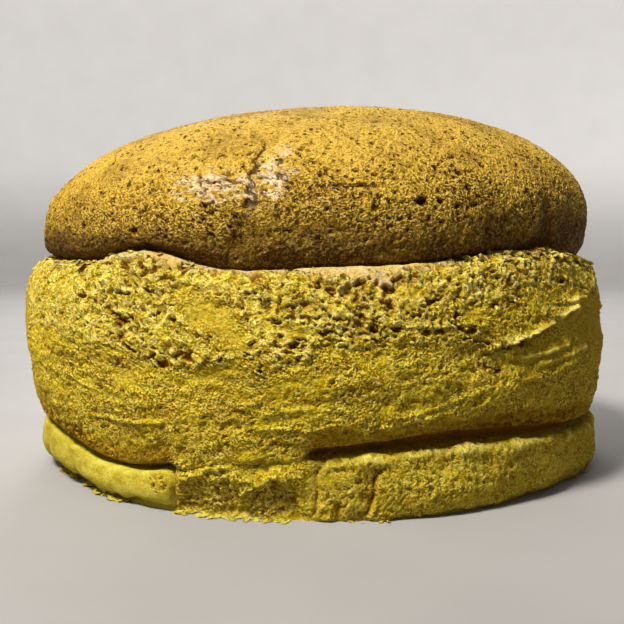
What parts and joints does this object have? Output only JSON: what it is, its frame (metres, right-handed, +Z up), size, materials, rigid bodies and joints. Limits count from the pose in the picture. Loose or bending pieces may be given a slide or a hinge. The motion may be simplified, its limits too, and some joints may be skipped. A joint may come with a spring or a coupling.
{
  "type": "souffle cheesecake",
  "caption": "Round matcha souffle cheesecake, whole and uncut: a pale foot, a bulging torn-sided belly and a browned domed cap in one piece of sponge.",
  "frame": {"origin": "centre of the flat base that the cake stands on", "axes": "+Z up through the cap; -Y towards the front, where the foot and the belly are fused; +X towards the side where the cap rose higher"},
  "size_m": [0.1622, 0.1622, 0.097],
  "materials": {
    "matcha_crumb": "matte, porous olive-yellow sponge",
    "browned_crust": "satin, pitted golden-brown skin"
  },
  "bodies": {
    "root": {"cheesecake": "matcha_crumb"}
  },
  "joints": []
}
